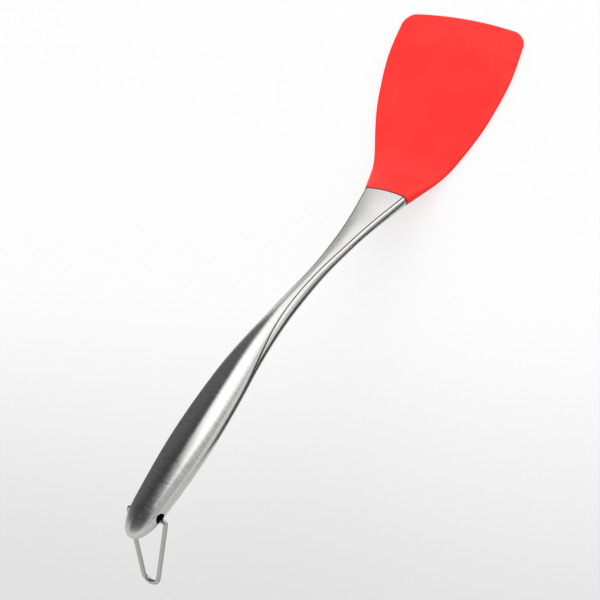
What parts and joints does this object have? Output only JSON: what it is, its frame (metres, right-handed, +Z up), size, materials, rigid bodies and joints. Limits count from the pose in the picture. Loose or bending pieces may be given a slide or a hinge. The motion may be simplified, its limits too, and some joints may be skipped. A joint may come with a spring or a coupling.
{
  "type": "kitchen turner",
  "caption": "Kitchen turner with a solid flat silicone head, a hollow brushed steel handle with a rounded grip, and a free-swinging wire loop for hanging.",
  "frame": {"origin": "middle of the flat underside of the head, on the mirror plane", "axes": "+Y along the tool from the handle to the tip of the head, +Z up out of the head's upper face, x = 0 is the mirror plane"},
  "size_m": [0.0726, 0.3247, 0.1256],
  "materials": {
    "silicone_red": "smooth semi-gloss silicone",
    "core_steel": "plain rolled sheet",
    "nylon_black": "matte moulded nylon",
    "brushed_steel": "satin brushed, cross-grained on the grip",
    "wire_steel": "satin drawn wire"
  },
  "bodies": {
    "turner": {"silicone_head": "silicone_red", "core_plate": "core_steel", "tang_plug": "nylon_black", "handle_upper_shell": "brushed_steel", "handle_lower_shell": "brushed_steel"},
    "loop": {"hanging_loop": "wire_steel"}
  },
  "joints": [
    {"name": "hanging_loop_swing", "type": "hinge", "parent": "turner", "child": "loop", "pos_m": [0, -0.25707, 0.11787], "axis": [1, 0, 0], "range_deg": [-196, 84]}
  ]
}
